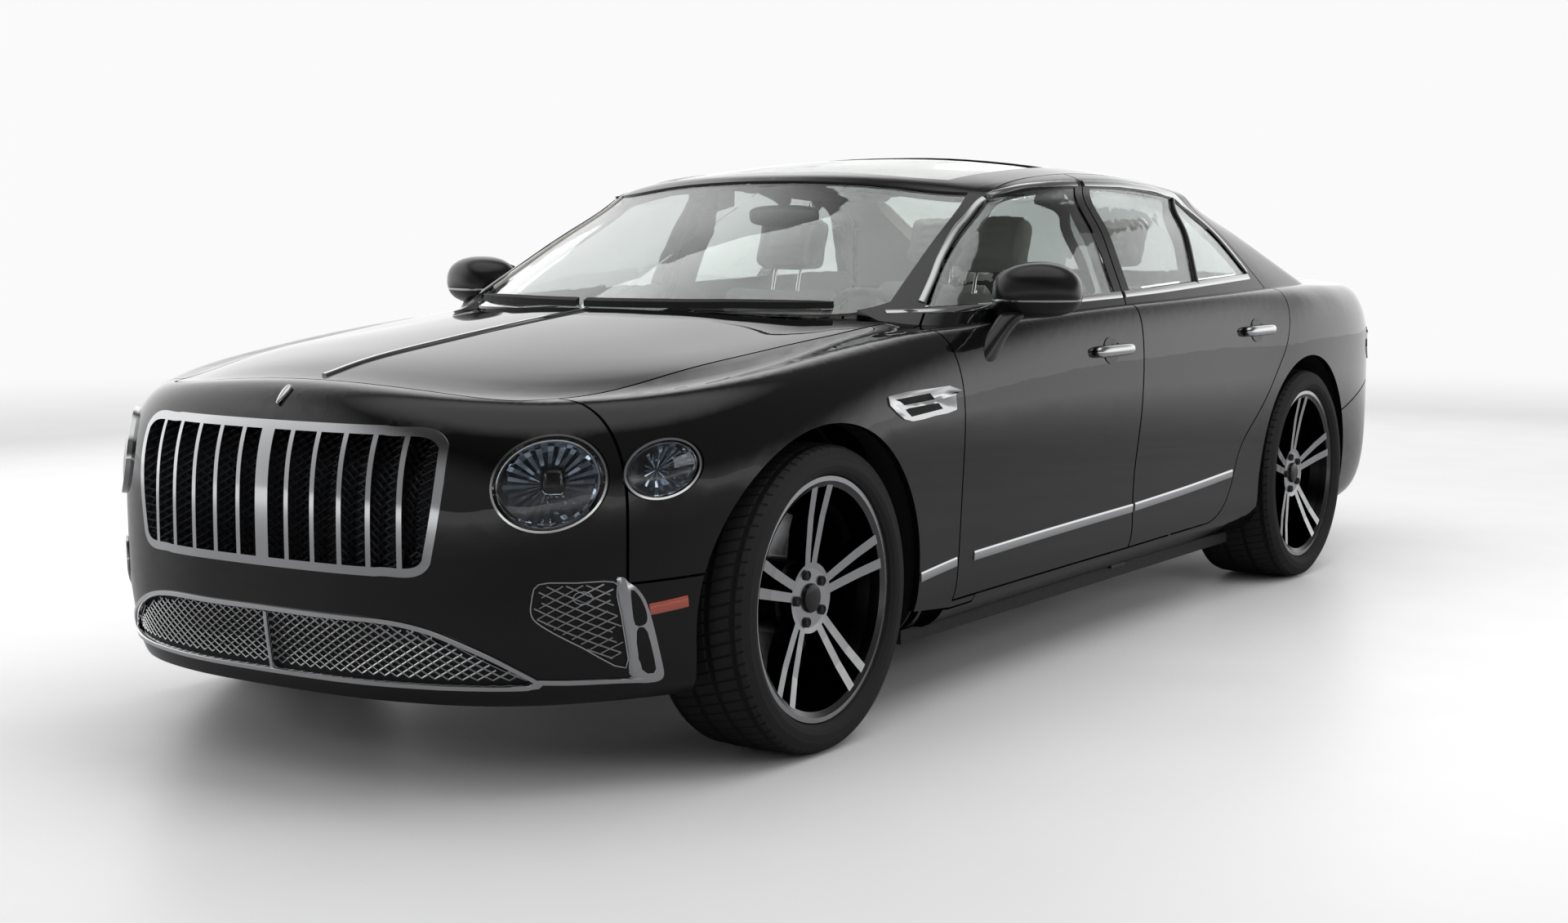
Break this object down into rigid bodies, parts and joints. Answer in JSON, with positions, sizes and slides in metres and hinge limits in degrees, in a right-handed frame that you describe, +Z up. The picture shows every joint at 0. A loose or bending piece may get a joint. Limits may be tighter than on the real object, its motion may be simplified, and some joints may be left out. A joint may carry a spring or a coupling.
{
  "type": "sedan car",
  "caption": "Long-bonnet four-door luxury sedan with opening doors, bonnet and boot lid, steered front wheels and a hollow cabin.",
  "frame": {"origin": "on the ground, at the middle of the car's length and width", "axes": "nose towards -Y, the car's left side towards +X, +Z up"},
  "size_m": [2.22, 5.3182, 1.4842],
  "materials": {
    "paint": "gloss black two-layer paint",
    "mirror_shell": "gloss black moulding",
    "underbody": "satin black coated steel",
    "engine": "cast alloy",
    "chassis_steel": "forged and cast, grey",
    "exhaust_steel": "brushed stainless steel",
    "bright_trim": "bright chrome",
    "dark_mesh": "gloss black lattice",
    "lamp_glass": "clear moulded lamp cover",
    "lamp_reflector": "bright faceted reflector",
    "tail_lamp": "clear red lens",
    "window_glass": "lightly tinted glass",
    "cabin_trim": "black grained leather",
    "wheel_leather": "black smooth leather",
    "seat_leather": "mid grey leather",
    "wiper_rubber": "matt black",
    "tyre": "black tyre rubber",
    "wheel_alloy": "turned alloy with dark grey recesses"
  },
  "bodies": {
    "body": {"body_sides": "paint", "boot_floor": "underbody", "bumper_grilles": "dark_mesh", "dashboard": "cabin_trim", "engine": "engine", "exhaust": "exhaust_steel", "fixed_glass": "window_glass", "floor_pan": "underbody", "front_bumper": "paint", "front_seats": "seat_leather", "front_wings": "paint", "grille_mesh": "dark_mesh", "grille_vanes": "bright_trim", "headlamp_housings": "lamp_reflector", "headlamp_lenses": "lamp_glass", "parcel_shelf": "cabin_trim", "rear_bulkhead": "underbody", "rear_bumper": "paint", "rear_carriers": "chassis_steel", "rear_seats": "seat_leather", "rear_wheel_houses": "underbody", "roof": "paint", "steering_wheel": "wheel_leather", "suspension": "chassis_steel", "tail_lamps": "tail_lamp", "tunnel": "underbody", "underbody": "underbody", "wing_vents": "bright_trim", "wipers": "wiper_rubber"},
    "door_fl": {"door_fl": "paint", "glass_fl": "window_glass", "mirror_l": "mirror_shell"},
    "door_fr": {"door_fr": "paint", "glass_fr": "window_glass", "mirror_r": "mirror_shell"},
    "door_rl": {"door_rl": "paint", "glass_rl": "window_glass"},
    "door_rr": {"door_rr": "paint", "glass_rr": "window_glass"},
    "bonnet": {"bonnet": "paint"},
    "boot": {"boot_lid": "paint", "boot_lamps": "tail_lamp"},
    "knuckle_fl": {"knuckle_fl": "chassis_steel"},
    "knuckle_fr": {"knuckle_fr": "chassis_steel"},
    "wheel_fl": {"wheel_fl": "wheel_alloy", "tyre_fl": "tyre"},
    "wheel_fr": {"wheel_fr": "wheel_alloy", "tyre_fr": "tyre"},
    "wheel_rl": {"wheel_rl": "wheel_alloy", "tyre_rl": "tyre"},
    "wheel_rr": {"wheel_rr": "wheel_alloy", "tyre_rr": "tyre"}
  },
  "joints": [
    {"name": "steer_left", "type": "hinge", "parent": "body", "child": "knuckle_fl", "pos_m": [0.755, -1.76, 0.3755], "axis": [0, 0, 1], "range_deg": [-36, 36]},
    {"name": "steer_right", "type": "hinge", "parent": "body", "child": "knuckle_fr", "pos_m": [-0.755, -1.76, 0.3755], "axis": [0, 0, 1], "range_deg": [-36, 36]},
    {"name": "spin_front_left", "type": "hinge", "parent": "knuckle_fl", "child": "wheel_fl", "pos_m": [0.835, -1.76, 0.3755], "axis": [1, 0, 0], "continuous": true},
    {"name": "spin_front_right", "type": "hinge", "parent": "knuckle_fr", "child": "wheel_fr", "pos_m": [-0.835, -1.76, 0.3755], "axis": [1, 0, 0], "continuous": true},
    {"name": "spin_rear_left", "type": "hinge", "parent": "body", "child": "wheel_rl", "pos_m": [0.832, 1.434, 0.374], "axis": [1, 0, 0], "continuous": true},
    {"name": "spin_rear_right", "type": "hinge", "parent": "body", "child": "wheel_rr", "pos_m": [-0.832, 1.434, 0.374], "axis": [1, 0, 0], "continuous": true},
    {"name": "front_left_door", "type": "hinge", "parent": "body", "child": "door_fl", "pos_m": [0.968, -1.078, 0.7], "axis": [0, 0, -1], "range_deg": [0, 66]},
    {"name": "front_right_door", "type": "hinge", "parent": "body", "child": "door_fr", "pos_m": [-0.968, -1.078, 0.7], "axis": [0, 0, 1], "range_deg": [0, 66]},
    {"name": "rear_left_door", "type": "hinge", "parent": "body", "child": "door_rl", "pos_m": [0.968, 0.069, 0.7], "axis": [0, 0, -1], "range_deg": [0, 68]},
    {"name": "rear_right_door", "type": "hinge", "parent": "body", "child": "door_rr", "pos_m": [-0.968, 0.069, 0.7], "axis": [0, 0, 1], "range_deg": [0, 68]},
    {"name": "bonnet_hinge", "type": "hinge", "parent": "body", "child": "bonnet", "pos_m": [0, -1.128, 1.024], "axis": [-1, 0, 0], "range_deg": [0, 50]},
    {"name": "boot_hinge", "type": "hinge", "parent": "body", "child": "boot", "pos_m": [0, 1.95, 1.092], "axis": [1, 0, 0], "range_deg": [0, 80]}
  ],
  "couplings": [
    {"joint": "steer_right", "follows": "steer_left", "ratio": 1}
  ]
}
